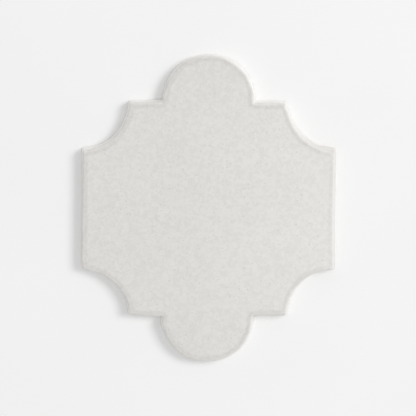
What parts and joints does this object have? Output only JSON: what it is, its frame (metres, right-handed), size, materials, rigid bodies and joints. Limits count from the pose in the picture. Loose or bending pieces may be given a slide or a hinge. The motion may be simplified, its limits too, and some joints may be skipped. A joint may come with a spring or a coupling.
{
  "type": "lobed ceramic tile",
  "caption": "Flat glazed ceramic tile with a half-round lobe at each end, quarter-round scooped corners, straight sides, drafted walls and a soft arris.",
  "frame": {"origin": "middle of the bed, the flat underside that the tile lies on", "axes": "+Z out of the glazed face, +Y along the tile towards one lobe, +X across the tile between its straight sides"},
  "size_m": [0.2798, 0.3416, 0.015],
  "materials": {
    "matte_glaze": "matte warm off-white glaze with fine mottling, fired over pale clay"
  },
  "bodies": {
    "root": {"tile": "matte_glaze"}
  },
  "joints": []
}
